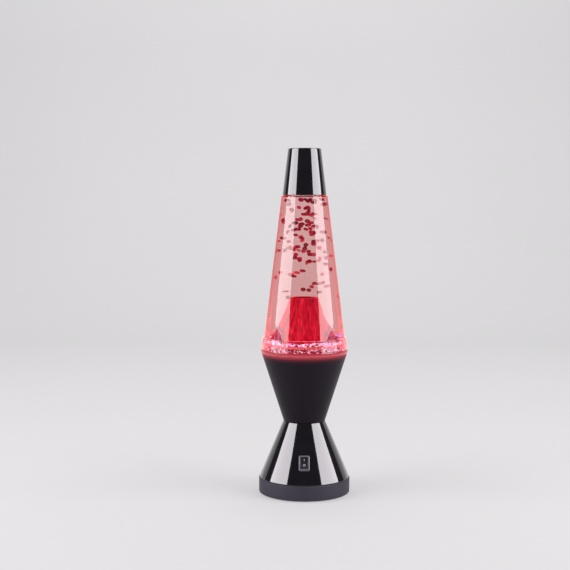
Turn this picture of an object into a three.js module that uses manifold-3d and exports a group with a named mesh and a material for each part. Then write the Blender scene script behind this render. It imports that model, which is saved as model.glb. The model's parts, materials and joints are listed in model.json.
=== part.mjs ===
// A battery-powered volcano lamp: a clear tapered bottle of liquid stands on an hourglass base.
// A motor in the base turns a magnet wheel, which drives an impeller under the bottle's floor, and the
// impeller lifts liquid and sequins up through the red cone. Three LEDs light it from below.
// Millimetres, +Z up. The origin is the centre of the resting plane, and the switch faces -Y.

import * as THREE from "three";
import { mergeVertices } from "three/addons/utils/BufferGeometryUtils.js";
import Module from "manifold-3d";

const wasm = await Module();
wasm.setup();

// ---------- driving dimensions ----------

const gap = 0.3; // left between pieces that meet
const wall = 2; // of the black mouldings
const largeSides = 40;
const midSides = 24;
const smallSides = 12;
const screwSides = 8;

const lampHeight = 340;
const footHeight = 0.8; // how far the rubber feet stand out
const ringRadius = 45;
const ringTop = 15.5;
const waistRadius = 20.6;
const waistZ = 72;
const rimRadius = 42.2;
const rimZ = 138.6;
const dishRadius = 43.1; // the widest place of the bottle's dish
const collarTop = 155;
const collarRadius = 41.2; // of the collar at its top
const bottleLowRadius = 39.7; // of the bottle where it leaves the collar
const shoulderZ = 294;
const shoulderRadius = 22.7;
const capLowRadius = 21.8;
const capTopRadius = 16.2;

const plateTop = 3.3; // of the base plate
const plateRadius = 41.2;
const spigotRadius = 41.2; // of the lower shell's spigot, inside the foot ring
const bossCircle = 36.5; // radius on which the base screws stand
const bossTop = 22;
const feetAngles = [60, 120, 240, 300]; // of the rubber feet, in degrees

const switchZ = 36;
const bezel = { width: 10.5, length: 15, thickness: 1.5 };
const rockerTilt = THREE.MathUtils.degToRad(10); // either side of the middle

const cell = { radius: 7.1, length: 49, nubRadius: 2.7, nubLength: 1.5, pitch: 14.8, z: 10.9 };
const tray = { length: 58.6, width: 47, wall: 1.2, low: plateTop + gap, top: 19.8 };

const motorRadius = 10;
const motorFlat = 7.6; // from the axis to the can's flat sides
const motorLow = 88;
const motorPlateZ = 115.7; // underside of the plate that the motor hangs from
const motorPlateThickness = 2.5;
const boardZ = 127;
const boardThickness = 1.6;
const ledCircle = 26;
const ledCount = 3;
const magnetCircle = 9;
const magnetRadius = 3.7;
const magnetThickness = 3;
const wheelRadius = 15;
const wheelLow = 130;
const wheelTop = 137.2;

const dishFloorLow = rimZ + gap;
const dishFloorTop = 141.3;
const bottleWall = 1.5;
const groundLow = 146.8; // the plate that the volcano stands on
const groundTop = 148.5;
const impellerRadius = 14;
const volcanoFoot = 25.7;
const volcanoTop = 193.5;
const craterRadius = 9.9;
const volcanoWall = 1.6;
const peakHeight = 19; // two small peaks stand at the cone's foot, a little forward of its sides
const peakRadius = 8.6;
const peakForward = 12;
const peakAside = 22.6;
const peakLean = 1.4; // how far each tip leans towards the cone
const neckRadius = 13.4;
const neckTop = 318;

// ---------- materials ----------

function material(color, roughness, metalness = 0, opacity = 1) {
  const transparent = opacity < 1;
  return new THREE.MeshStandardMaterial({ color, roughness, metalness, opacity, transparent });
}

const glossBlack = material(0x0b0a0d, 0.12);
const satinBlack = material(0x141317, 0.5);
const matteGrey = material(0x3a3844, 0.75);
const blackRubber = material(0x171717, 0.9);
const clearPlastic = material(0xf6e4e2, 0.05, 0, 0.3);
const clearLiquid = material(0xf2c9c6, 0.05, 0, 0.25);
const redPlastic = material(0xd01022, 0.35);
const whitePlastic = material(0xe8e6e2, 0.4);
const steel = material(0xb8b8bc, 0.3, 1);
const nickel = material(0xa9a69c, 0.35, 1);
const boardGreen = material(0x1d5c3a, 0.5);
const cellSleeve = material(0x2d4f8e, 0.4);
const redRubber = material(0xb01a1a, 0.6);

// ---------- solids ----------

// A closed three.js geometry as a manifold-3d solid.
function solid(geometry) {
  const plain = geometry.clone();
  plain.deleteAttribute("normal");
  plain.deleteAttribute("uv");
  const merged = mergeVertices(plain, 1e-3);
  return new wasm.Manifold(
    new wasm.Mesh({
      numProp: 3,
      vertProperties: new Float32Array(merged.attributes.position.array),
      triVerts: new Uint32Array(merged.index.array),
    }),
  );
}

function geometryOf(manifold) {
  const mesh = manifold.getMesh();
  const positions = new Float32Array(mesh.vertProperties);
  return new THREE.BufferGeometry()
    .setAttribute("position", new THREE.BufferAttribute(positions, 3))
    .setIndex(new THREE.BufferAttribute(new Uint32Array(mesh.triVerts), 1));
}

// A turned geometry about Z. The profile is [radius, z] pairs, anticlockwise with the radius to the right.
function turnedGeometry(profile, sides = largeSides) {
  const points = profile.map(([radius, z]) => new THREE.Vector2(radius, z));
  if (profile[0][0] > 0) points.push(points[0].clone());
  return new THREE.LatheGeometry(points, sides).rotateX(Math.PI / 2);
}

const turned = (profile, sides) => solid(turnedGeometry(profile, sides));

function rod(radius, low, high, x = 0, y = 0, sides = smallSides) {
  return turned([[0, low], [radius, low], [radius, high], [0, high]], sides).translate([x, y, 0]);
}

function block(width, depth, height, x, y, z) {
  return solid(new THREE.BoxGeometry(width, depth, height).translate(x, y, z));
}

// Angles in degrees that divide the circle evenly, and copies of a solid turned about Z to such angles.
const evenly = (count, first = 0) => Array.from({ length: count }, (_, i) => first + (360 * i) / count);
const aroundAxis = (shape, angles) => angles.map((angle) => shape.rotate([0, 0, angle]));

const join = (first, ...others) => others.reduce((sum, other) => sum.add(other), first);
const cut = (first, ...others) => others.reduce((rest, other) => rest.subtract(other), first);

// ---------- the outline of the lamp ----------

const lowerSlope = (ringRadius - gap - waistRadius) / (waistZ - gap - ringTop - gap);
const lowerRadius = (z) => waistRadius + (waistZ - gap - z) * lowerSlope;
const upperSlope = (rimRadius - waistRadius) / (rimZ - waistZ);
const upperRadius = (z) => waistRadius + (z - waistZ) * upperSlope;
const bottleSlope = (bottleLowRadius - shoulderRadius) / (shoulderZ - collarTop);
const bottleRadius = (z) => shoulderRadius + (shoulderZ - z) * bottleSlope;
const capSlope = (capLowRadius - capTopRadius) / (lampHeight - shoulderZ);
const capRadius = (z) => capLowRadius - (z - shoulderZ) * capSlope;

// ---------- foot and base plate ----------

function footRing() {
  const lipLow = plateTop + gap;
  const lipTop = lipLow + 2;
  const bore = spigotRadius + gap;
  return turnedGeometry([
    [bore, footHeight],
    [ringRadius - 0.6, footHeight],
    [ringRadius, footHeight + 0.6],
    [ringRadius, ringTop - 0.5],
    [ringRadius - 0.5, ringTop],
    [bore, ringTop],
    [bore, lipTop],
    [bore - 1.3, lipTop],
    [bore - 1.3, lipLow],
    [bore, lipLow],
  ]);
}

const door = { length: 60.4, width: 49.4, low: footHeight + 0.15, top: 2.4, earY: 27.5, earRadius: 4.5 };

// The door's outline, grown by a clearance: a plate with an ear for its screw.
function doorOutline(clearance, low, high) {
  const height = high - low;
  const middle = (low + high) / 2;
  const plate = block(door.length + 2 * clearance, door.width + 2 * clearance, height, 0, 0, middle);
  const ear = rod(door.earRadius + clearance, low, high, 0, door.earY, midSides);
  return join(plate, ear);
}

function basePlate() {
  const disc = rod(plateRadius, footHeight, plateTop, 0, 0, largeSides);
  const recess = doorOutline(gap, footHeight - 1, door.top + gap);
  const bay = block(tray.length - 2 * tray.wall, tray.width - 2 * tray.wall, 10, 0, 0, plateTop);
  const screwHoles = aroundAxis(rod(1.5, 0, 10, bossCircle), evenly(4));
  const headPockets = aroundAxis(rod(3, 0, 2.2, bossCircle), evenly(4));
  const padPockets = aroundAxis(rod(4.3, 0, footHeight + 0.9, bossCircle), feetAngles);
  const doorBoss = rod(3.2, plateTop - 0.2, 10, 0, door.earY);
  const doorPilot = rod(1.4, 0, 9, 0, door.earY);
  return cut(join(cut(disc, recess, bay), doorBoss), ...screwHoles, ...headPockets, ...padPockets, doorPilot);
}

const rubberFoot = () => rod(4, 0, footHeight + 0.6, bossCircle);

// A pan-head screw that points up, with its head's low face at z.
function screw(z, headRadius, length, headHeight = 1) {
  const shank = 1.1;
  const slot = block(headRadius * 1.3, 0.5, 0.8, 0, 0, z);
  const body = turned(
    [
      [0, z],
      [headRadius, z],
      [headRadius, z + headHeight],
      [shank, z + headHeight],
      [shank, z + length - 1],
      [0, z + length],
    ],
    screwSides,
  );
  return cut(body, slot);
}

function batteryDoor() {
  const countersink = rod(2.9, 0, door.low + 0.9, 0, door.earY);
  const hole = rod(1.5, 0, 5, 0, door.earY);
  const gripGrooves = [-1, 0, 1].map((i) => block(16, 0.8, 0.8, 0, -16 + 2.4 * i, door.low));
  return cut(doorOutline(0, door.low, door.top), countersink, hole, ...gripGrooves);
}

// ---------- batteries and contacts ----------

function batteryTray() {
  const height = tray.top - tray.low;
  const middle = (tray.top + tray.low) / 2;
  const outside = block(tray.length, tray.width, height, 0, 0, middle);
  const insideLength = tray.length - 2 * tray.wall;
  const insideWidth = tray.width - 2 * tray.wall;
  const inside = block(insideLength, insideWidth, height, 0, 0, middle - 1.4);
  const wireNotch = block(4, 3, 4, 22, -tray.width / 2, tray.top);
  return cut(outside, inside, wireNotch);
}

const trayEnd = tray.length / 2 - tray.wall; // from the centre to the inside of an end wall
const contactThickness = 0.5;
const nubTip = trayEnd - 2 * gap - contactThickness;

// A cell lying along X, with its nub towards +X.
function batteryCell() {
  const body = nubTip - cell.nubLength;
  const low = body - cell.length;
  return turned(
    [
      [0, low],
      [cell.radius - 0.5, low],
      [cell.radius, low + 0.5],
      [cell.radius, body - 0.5],
      [cell.radius - 0.5, body],
      [cell.nubRadius, body],
      [cell.nubRadius, nubTip],
      [0, nubTip],
    ],
    midSides,
  ).rotate([0, 90, 0]);
}

// A conical spring along X that presses on the cell's flat end.
function contactSpring() {
  const wire = 0.4;
  const turns = 2;
  const near = -(cell.length + cell.nubLength - nubTip) - gap - wire;
  const far = -trayEnd + gap + wire;
  class Coil extends THREE.Curve {
    getPoint(t) {
      const angle = t * turns * 2 * Math.PI;
      const radius = 2.6 + 2.6 * t;
      return new THREE.Vector3(near + (far - near) * t, radius * Math.cos(angle), radius * Math.sin(angle));
    }
  }
  const section = new THREE.Shape().absarc(0, 0, wire, 0, 2 * Math.PI);
  const steps = turns * 10;
  return new THREE.ExtrudeGeometry(section, { steps, curveSegments: 3, extrudePath: new Coil() });
}

const contactPlate = () => block(contactThickness, 9, 10, nubTip + gap + contactThickness / 2, 0, 0);

// ---------- lower shell and switch ----------

// Places a solid, modelled about the switch's own frame, on the front of the lower shell.
// In that frame +Z points out of the shell and +Y points up along it.
const switchLean = Math.PI / 2 - Math.atan(lowerSlope);
function onShellFront(object) {
  object.rotation.x = switchLean;
  object.position.set(0, -lowerRadius(switchZ), switchZ);
  return object;
}

const switchBody = { width: 8.4, length: 13.2, depth: 11 };
const rocker = { width: 7, halfLength: 5.1, pivotZ: -1.5, axle: 0.7 };

function lowerShell() {
  const spigotLow = plateTop + gap + 2 + gap;
  const low = ringTop + gap;
  const top = waistZ - gap;
  const outside = turned([
    [0, spigotLow],
    [spigotRadius, spigotLow],
    [spigotRadius, low],
    [lowerRadius(low), low],
    [waistRadius, top],
    [0, top],
  ]);
  const boreRadius = spigotRadius - 1.6;
  const boreTop = waistZ - gap - (boreRadius + wall - waistRadius) / lowerSlope;
  const inside = turned([
    [0, spigotLow - 1],
    [boreRadius, spigotLow - 1],
    [boreRadius, boreTop],
    [lowerRadius(top - wall) - wall, top - wall],
    [0, top - wall],
  ]);
  const bosses = aroundAxis(rod(3.4, plateTop + gap, bossTop, bossCircle), evenly(4));
  const pilots = aroundAxis(rod(1.4, 0, bossTop - 4, bossCircle), evenly(4));
  const wireHole = rod(6, top - 5, waistZ, 0, 0, midSides);
  const screwHoles = aroundAxis(rod(1.5, top - 5, waistZ, 12), evenly(2));
  const opening = block(switchBody.width + 2 * gap, switchBody.length + 2 * gap, 8, 0, 0, 0)
    .rotate([THREE.MathUtils.radToDeg(switchLean), 0, 0])
    .translate([0, -lowerRadius(switchZ), switchZ]);
  return cut(join(cut(outside, inside), ...bosses), ...pilots, wireHole, ...screwHoles, opening);
}

function switchHousing() {
  const low = gap;
  const front = low + bezel.thickness;
  const flange = block(bezel.width, bezel.length, bezel.thickness, 0, 0, (low + front) / 2);
  const bodyHeight = switchBody.depth + low + 0.5;
  const bodyMiddle = low + 0.5 - bodyHeight / 2;
  const body = block(switchBody.width, switchBody.length, bodyHeight, 0, 0, bodyMiddle);
  const well = block(rocker.width + 0.8, 12.4, front + 6.2, 0, 0, (front - 5) / 2);
  const axleHole = rod(rocker.axle + 0.4, -10, 10).rotate([0, 90, 0]).translate([0, 0, rocker.pivotZ]);
  return cut(join(flange, body), well, axleHole);
}

// The rocker about its pivot, with its upper half pressed in: two faces that meet in a shallow valley.
function switchRocker() {
  const end = rocker.halfLength;
  const side = new THREE.Shape([
    new THREE.Vector2(-end, 3.9),
    new THREE.Vector2(-end + 0.5, 0.7),
    new THREE.Vector2(-2, -2.1),
    new THREE.Vector2(2, -2.1),
    new THREE.Vector2(end - 0.5, 0.7),
    new THREE.Vector2(end, 3.9),
    new THREE.Vector2(2.6, 3.25),
    new THREE.Vector2(0, 3),
    new THREE.Vector2(-2.6, 3.25),
  ]);
  const extruded = new THREE.ExtrudeGeometry(side, { depth: rocker.width, bevelEnabled: false });
  extruded.translate(0, 0, -rocker.width / 2).rotateY(Math.PI / 2).rotateX(Math.PI / 2);
  const axle = rod(rocker.axle, -rocker.width / 2 - 0.5, rocker.width / 2 + 0.5).rotate([0, 90, 0]);
  return join(solid(extruded), axle)
    .rotate([-THREE.MathUtils.radToDeg(rockerTilt), 0, 0])
    .translate([0, 0, rocker.pivotZ]);
}

const switchTerminal = (side) => block(0.8, 4.8, 6, 2.3 * side, 0, -switchBody.depth - gap - 3);

// ---------- upper shell, motor and lights ----------

function upperShell() {
  const socketRadius = 37;
  const socketLow = waistZ + (socketRadius + wall - waistRadius) / upperSlope;
  const outside = turned([
    [0, waistZ],
    [waistRadius, waistZ],
    [rimRadius, rimZ],
    [0, rimZ],
  ]);
  const floorTop = waistZ + wall;
  const inside = turned([
    [0, floorTop],
    [upperRadius(floorTop) - wall, floorTop],
    [socketRadius, socketLow],
    [socketRadius, rimZ + 1],
    [0, rimZ + 1],
  ]);
  const bossLow = 98;
  const plateBosses = aroundAxis(rod(3, bossLow, motorPlateZ - gap, 27), evenly(2));
  const waistBosses = aroundAxis(rod(3, waistZ + 1, waistZ + 12, 12), evenly(2));
  const pilots = [
    ...aroundAxis(rod(1.4, bossLow + 4, motorPlateZ, 27), evenly(2)),
    ...aroundAxis(rod(1.4, waistZ - 1, waistZ + 11, 12), evenly(2)),
  ];
  const wireHole = rod(6, waistZ - 1, floorTop + 1, 0, 0, midSides);
  const bosses = join(...plateBosses, ...waistBosses).intersect(outside);
  return cut(join(cut(outside, inside), bosses), ...pilots, wireHole);
}

// A flanged rubber bush in the wire hole of both shells.
function wireGrommet() {
  const low = waistZ - gap - wall;
  const high = waistZ + wall;
  return turnedGeometry(
    [
      [3.6, low - 2],
      [8, low - 2],
      [8, low - gap],
      [5.7, low - gap],
      [5.7, high + 1.5],
      [3.6, high + 1.5],
    ],
    midSides,
  );
}

function motorPlate() {
  const top = motorPlateZ + motorPlateThickness;
  const disc = rod(31, motorPlateZ, top, 0, 0, largeSides);
  const posts = aroundAxis(rod(2.2, top - 0.5, boardZ - gap, 22.5), evenly(3, 30));
  const shaftHole = rod(3.6, motorPlateZ - 1, top + 1, 0, 0, midSides);
  const screwHoles = aroundAxis(rod(1.5, motorPlateZ - 1, top + 1, 27), evenly(2));
  const wireHoles = aroundAxis(rod(2.6, motorPlateZ - 1, top + 1, 22), evenly(2, 135));
  const twinLeadHole = rod(2, motorPlateZ - 1, top + 1, 0, 19.5);
  return cut(join(disc, ...posts), shaftHole, ...screwHoles, ...wireHoles, twinLeadHole);
}

function motorCan() {
  const high = motorPlateZ - gap;
  const flatSides = (radius, flat, low, top) =>
    rod(radius, low, top, 0, 0, midSides).intersect(
      block(4 * radius, 2 * flat, top - low, 0, 0, (low + top) / 2),
    );
  const body = flatSides(motorRadius, motorFlat, motorLow, high);
  const hollow = flatSides(motorRadius - 0.8, motorFlat - 0.8, motorLow - 1, high - 1);
  const shaftHole = rod(1.6, high - 2, high + 1);
  return cut(body, hollow, shaftHole);
}

// The plastic end that closes the can, with two solder tags.
function motorEndCap() {
  const high = motorLow - gap;
  const disc = rod(motorRadius, high - 2.2, high, 0, 0, midSides);
  const trimmed = disc.intersect(block(30, 2 * motorFlat, 10, 0, 0, high));
  const tags = [-1, 1].map((side) => block(0.5, 2, 4, 6 * side, 0, high - 4));
  return join(trimmed, ...tags);
}

const motorShaft = () => rod(1, motorLow + 2, wheelLow + 4);

function magnetWheel() {
  const disc = rod(wheelRadius, wheelLow, wheelTop, 0, 0, largeSides);
  const hub = rod(4, wheelLow - 5, wheelLow + 0.5);
  const bore = rod(1.3, wheelLow - 6, wheelLow + 4.4);
  const pocketLow = wheelTop - magnetThickness - 0.6;
  const pockets = aroundAxis(rod(magnetRadius + gap, pocketLow, wheelTop + 1, magnetCircle), evenly(2));
  return cut(join(disc, hub), bore, ...pockets);
}

const driveMagnet = () => rod(magnetRadius, wheelTop - magnetThickness - 0.3, wheelTop - 0.3, magnetCircle);

function ledBoard() {
  const high = boardZ + boardThickness;
  return turnedGeometry([[17.5, boardZ], [33, boardZ], [33, high], [17.5, high]]);
}

// A round-nosed LED that stands on the board, at the LED circle on +X.
function led() {
  const low = boardZ + boardThickness + gap;
  const radius = 2.5;
  const domeCentre = low + 5.2;
  const dome = [0, 1, 2, 3].map((i) => {
    const angle = (i * Math.PI) / 6;
    return [radius * Math.cos(angle), domeCentre + radius * Math.sin(angle)];
  });
  dome[3][0] = 0;
  return turned([[0, low], [2.9, low], [2.9, low + 1], [radius, low + 1], ...dome], smallSides)
    .translate([ledCircle, 0, 0]);
}

// ---------- leads inside the base ----------

function lead(points, radius = 0.7) {
  const path = new THREE.CatmullRomCurve3(points.map((p) => new THREE.Vector3(...p)));
  const section = new THREE.Shape().absarc(0, 0, radius, 0, 2 * Math.PI);
  const steps = 4 * (points.length - 1);
  return new THREE.ExtrudeGeometry(section, { steps, curveSegments: 3, extrudePath: path });
}

const terminalY = -lowerRadius(switchZ) + (switchBody.depth + 8) * Math.cos(Math.atan(lowerSlope));
const terminalZ = switchZ - (switchBody.depth + 8) * Math.sin(Math.atan(lowerSlope));

// From the tray's side to the switch.
const redRoute = [
  [22, -22.4, 21],
  [20, -21.5, 25],
  [14, -19, 28],
  [7, -17.5, terminalZ],
  [2.6, terminalY, terminalZ - 0.5],
];

// From the switch, up through the waist, to the LED board.
const switchRoute = [
  [-2.6, terminalY, terminalZ - 0.5],
  [-4, -10, 34],
  [-3, -3, 50],
  [-1.6, 0.5, 66],
  [-1.6, 0.5, 76],
  [-9, 9, 86],
  [-14.5, 14.5, 100],
  [-15.5, 15.5, 114],
  [-15.5, 15.5, boardZ - gap],
];

// From the tray, up through the waist, to the LED board.
const blackRoute = [
  [10, 14, tray.top + 1.2],
  [9, 12, 30],
  [4, 4, 50],
  [1.6, -0.5, 66],
  [1.6, -0.5, 76],
  [8, -9, 84],
  [14.5, -14.5, 100],
  [15.5, -15.5, 114],
  [15.5, -15.5, boardZ - gap],
];

// From the LED board down to the motor's end: a flat twin lead.
const motorRoute = [
  [0, 19.5, boardZ - gap],
  [0, 19.5, 121],
  [0, 19.5, 112],
  [0, 18, 98],
  [0, 13, 86],
  [0, 7, 80],
  [0, 2.5, 80.4],
];

function twinLead(points) {
  const path = new THREE.CatmullRomCurve3(points.map((p) => new THREE.Vector3(...p)));
  const wire = 0.6;
  const section = new THREE.Shape()
    .absarc(0, wire, wire, -Math.PI / 6, (7 * Math.PI) / 6)
    .absarc(0, -wire, wire, (5 * Math.PI) / 6, Math.PI / 6 + 2 * Math.PI);
  const steps = 4 * (points.length - 1);
  return new THREE.ExtrudeGeometry(section, { steps, curveSegments: 2, extrudePath: path });
}

// ---------- bottle ----------

function bottleDish() {
  const skirtLow = rimZ - 6.5;
  return turned([
    [0, dishFloorLow + 0.4],
    [34.8, dishFloorLow + 0.4],
    [34.8, skirtLow],
    [36.4, skirtLow],
    [36.4, dishFloorLow],
    [rimRadius - 0.3, dishFloorLow],
    [dishRadius - 0.2, dishFloorLow + 1.2],
    [dishRadius, dishFloorLow + 3],
    [collarRadius + 0.2, collarTop - 0.4],
    [collarRadius - 0.2, collarTop],
    [bottleRadius(collarTop) + gap, collarTop],
    [bottleRadius(dishFloorTop) + gap, dishFloorTop],
    [0, dishFloorTop],
  ]);
}

const pinRadius = 1.2;

// The impeller's axle, whose flange stands on the dish's floor.
const impellerPin = () =>
  turnedGeometry(
    [
      [0, dishFloorTop + gap],
      [2.4, dishFloorTop + gap],
      [2.4, dishFloorTop + gap + 0.4],
      [pinRadius, dishFloorTop + gap + 0.4],
      [pinRadius, groundLow - 0.2],
      [0, groundLow - 0.2],
    ],
    smallSides,
  );

function impeller() {
  const low = dishFloorTop + 1;
  const discTop = low + 3;
  const disc = rod(impellerRadius, low, discTop, 0, 0, largeSides);
  const hub = rod(3.4, discTop - 0.5, groundLow - 0.6);
  const vaneHeight = groundLow - 0.6 - discTop;
  const vane = block(9.5, 0.9, vaneHeight + 0.4, 8, 0, discTop + vaneHeight / 2 - 0.2);
  const vanes = aroundAxis(vane, evenly(6, 30));
  const bore = rod(pinRadius + 0.4, low - 1, groundLow);
  const pockets = aroundAxis(rod(magnetRadius + gap, low - 1, low + 2.4, magnetCircle), evenly(2));
  return cut(join(disc, hub, ...vanes), bore, ...pockets);
}

const impellerMagnet = () => rod(magnetRadius, dishFloorTop + 1, dishFloorTop + 3.1, magnetCircle);

// The perforated plate that covers the impeller, with the pump's wall under it.
function groundPlate() {
  const plate = turned([
    [8.4, groundLow],
    [bottleRadius(groundLow) - bottleWall - gap - 0.4, groundLow],
    [bottleRadius(groundTop) - bottleWall - gap - 0.4, groundTop],
    [8.4, groundTop],
  ]);
  const wallLow = dishFloorTop + gap;
  const pumpWall = turned([[17, wallLow], [18.2, wallLow], [18.2, groundLow + 0.2], [17, groundLow + 0.2]]);
  const outlets = aroundAxis(block(8, 7, 3, 17.6, 0, wallLow + 1), evenly(4, 45));
  const intakes = aroundAxis(rod(2.2, groundLow - 1, groundTop + 1, 32.5, 0, 8), evenly(8, 22.5));
  return cut(join(plate, cut(pumpWall, ...outlets)), ...intakes);
}

// The flank of the cone, from its foot to the crater's lip, moved out by a clearance.
const volcanoLow = groundTop + gap;
const flankSteps = 4;
function flank(clearance) {
  return Array.from({ length: flankSteps + 1 }, (_, i) => {
    const t = i / flankSteps;
    const sag = -1.1 * Math.sin(Math.PI * t); // the flank is a little hollow
    return [
      volcanoFoot + (craterRadius - volcanoFoot) * t + sag + clearance,
      volcanoLow + (volcanoTop - volcanoLow) * t,
    ];
  });
}

// A rough six-sided peak beside the cone, grown by a clearance.
function sidePeak(side, clearance) {
  const height = peakHeight + clearance;
  const cone = new THREE.CylinderGeometry(0.4 + clearance, peakRadius + clearance, height, 6);
  cone.rotateX(Math.PI / 2).translate(0, 0, height / 2);
  const lean = (-peakLean * side) / peakHeight;
  const shear = new THREE.Matrix4().set(1, 0, lean, 0, 0, 1, 0, 0, 0, 0, 1, 0, 0, 0, 0, 1);
  cone.applyMatrix4(shear).translate(peakAside * side, -peakForward, volcanoLow);
  return solid(cone);
}

function volcano() {
  const lip = craterRadius - volcanoWall;
  const outer = flank(0);
  const inner = flank(-volcanoWall).slice(0, -1).reverse();
  const throat = [lip - 1.2, volcanoTop - 4];
  const shell = turned([...outer, [lip, volcanoTop], throat, ...inner]);
  const outside = turned([[0, volcanoLow], ...outer, [0, volcanoTop]]);
  const peaks = [-1, 1].map((side) => cut(sidePeak(side, 0), outside));
  const bridges = [-1, 1].map((side) => {
    const root = sidePeak(side, 0).intersect(outside);
    return cut(root, turned([[0, volcanoLow - 1], ...flank(-volcanoWall), [0, volcanoTop]]));
  });
  return join(shell, ...peaks, ...bridges);
}

function bottleShell() {
  const low = dishFloorTop + gap;
  return turnedGeometry([
    [bottleRadius(low) - bottleWall, low],
    [bottleRadius(low), low],
    [shoulderRadius, shoulderZ - 0.8],
    [shoulderRadius - 0.8, shoulderZ],
    [19.4, shoulderZ],
    [18.6, 300],
    [neckRadius, 306],
    [neckRadius, neckTop],
    [neckRadius - bottleWall, neckTop],
    [neckRadius - bottleWall, 305.2],
    [17.2, 299.2],
    [18, shoulderZ - bottleWall],
    [shoulderRadius - bottleWall, shoulderZ - bottleWall],
  ]);
}

// The liquid above the ground plate and outside the cone, up to its level in the shoulder.
function liquid() {
  const low = volcanoLow;
  const inset = bottleWall + gap;
  const level = 297;
  const body = turned([
    [0, low],
    [bottleRadius(low) - inset, low],
    [shoulderRadius - inset, shoulderZ - inset],
    [17.6, shoulderZ - inset],
    [17.3, level],
    [0, level],
  ]);
  const cone = turned([[0, low - 1], [volcanoFoot + gap, low - 1], ...flank(gap), [0, volcanoTop + gap]]);
  const peaks = [-1, 1].map((side) => sidePeak(side, gap));
  return cut(body, cone, ...peaks.map((peak) => peak.translate([0, 0, -0.05])));
}

function bottleClosure() {
  const outer = neckRadius + 2.2;
  const inner = neckRadius + gap;
  return turnedGeometry(
    [
      [inner, 306.8],
      [outer, 306.8],
      [outer, 320.2],
      [outer - 0.8, 321],
      [0, 321],
      [0, 319.4],
      [inner, 319.4],
    ],
    midSides,
  );
}

const closureSeal = () => rod(neckRadius - 0.1, neckTop + gap, 319.1, 0, 0, midSides);

function topCap() {
  const low = shoulderZ + gap;
  const capWall = 1.6;
  const outside = turned([
    [0, low],
    [capRadius(low), low],
    [capRadius(lampHeight - 0.8), lampHeight - 0.8],
    [capTopRadius - 0.8, lampHeight],
    [0, lampHeight],
  ]);
  const insideTop = lampHeight - capWall;
  const inside = turned([
    [0, low - 1],
    [capRadius(low - 1) - capWall, low - 1],
    [capRadius(insideTop) - capWall, insideTop],
    [0, insideTop],
  ]);
  const ribInner = neckRadius + 2.2 + 0.5;
  const rib = block(6, 1.2, 12, ribInner + 3, 0, 314).intersect(outside);
  return join(cut(outside, inside), ...aroundAxis(rib, evenly(4, 45)));
}

// ---------- assembly ----------

const lamp = new THREE.Group();

function addTo(parent, name, shape, look) {
  const geometry = shape.isBufferGeometry ? shape : geometryOf(shape);
  const mesh = new THREE.Mesh(geometry, look);
  mesh.name = name;
  parent.add(mesh);
  return mesh;
}

const add = (name, shape, look) => addTo(lamp, name, shape, look);

// Adds a copy of a piece turned to each angle, numbered from 1.
function addAround(name, shape, look, angles) {
  angles.forEach((angle, i) => {
    add(`${name}_${i + 1}`, shape, look).rotation.z = THREE.MathUtils.degToRad(angle);
  });
}

add("foot_ring", footRing(), matteGrey);
add("base_plate", basePlate(), satinBlack);
addAround("rubber_foot", rubberFoot(), blackRubber, feetAngles);
addAround("base_screw", screw(0.9, 2.6, 12).translate([bossCircle, 0, 0]), steel, evenly(4));
add("battery_door", batteryDoor(), satinBlack);
add("door_screw", screw(door.low, 2.5, 7, 0.6).translate([0, door.earY, 0]), steel);

add("battery_tray", batteryTray(), satinBlack);
[-1, 0, 1].forEach((row, i) => {
  const along = new THREE.Group(); // one cell with its spring and plate; the middle one is turned round
  along.position.set(0, row * cell.pitch, cell.z);
  along.rotation.z = row === 0 ? Math.PI : 0;
  addTo(along, `battery_${i + 1}`, batteryCell(), cellSleeve);
  addTo(along, `contact_spring_${i + 1}`, contactSpring(), nickel);
  addTo(along, `contact_plate_${i + 1}`, contactPlate(), nickel);
  lamp.add(along);
});

add("lower_shell", lowerShell(), glossBlack);
const switchUnit = onShellFront(new THREE.Group());
addTo(switchUnit, "switch_housing", switchHousing(), satinBlack);
addTo(switchUnit, "switch_rocker", switchRocker(), satinBlack);
addTo(switchUnit, "switch_terminal_1", switchTerminal(-1), nickel);
addTo(switchUnit, "switch_terminal_2", switchTerminal(1), nickel);
lamp.add(switchUnit);

add("upper_shell", upperShell(), satinBlack);
add("wire_grommet", wireGrommet(), blackRubber);
addAround("waist_screw", screw(waistZ - gap - wall - 1.3, 2.4, 12).translate([12, 0, 0]), steel, evenly(2));
add("motor_plate", motorPlate(), whitePlastic);
const plateScrewLow = -motorPlateZ - motorPlateThickness - 1.3;
const plateScrew = screw(plateScrewLow, 2.4, 11).rotate([180, 0, 0]).translate([27, 0, 0]);
addAround("plate_screw", plateScrew, steel, evenly(2));
add("motor_can", motorCan(), steel);
add("motor_end_cap", motorEndCap(), whitePlastic);
add("motor_shaft", motorShaft(), steel);
add("magnet_wheel", magnetWheel(), whitePlastic);
addAround("drive_magnet", driveMagnet(), nickel, evenly(2));
add("led_board", ledBoard(), boardGreen);
addAround("led", led(), redPlastic, evenly(ledCount, 90));
add("red_lead", lead(redRoute), redRubber);
add("switch_lead", lead(switchRoute), redRubber);
add("black_lead", lead(blackRoute), blackRubber);
add("motor_twin_lead", twinLead(motorRoute), redRubber);

add("bottle_dish", bottleDish(), clearPlastic);
add("impeller_pin", impellerPin(), steel);
add("impeller", impeller(), whitePlastic);
addAround("impeller_magnet", impellerMagnet(), nickel, evenly(2));
add("ground_plate", groundPlate(), clearPlastic);
add("volcano", volcano(), redPlastic);
add("liquid", liquid(), clearLiquid);
add("bottle_shell", bottleShell(), clearPlastic);
add("bottle_closure", bottleClosure(), whitePlastic);
add("closure_seal", closureSeal(), blackRubber);
add("top_cap", topCap(), glossBlack);

export default lamp;
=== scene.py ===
import json
import math
import random
import bpy
from mathutils import Matrix, Vector, noise


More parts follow.
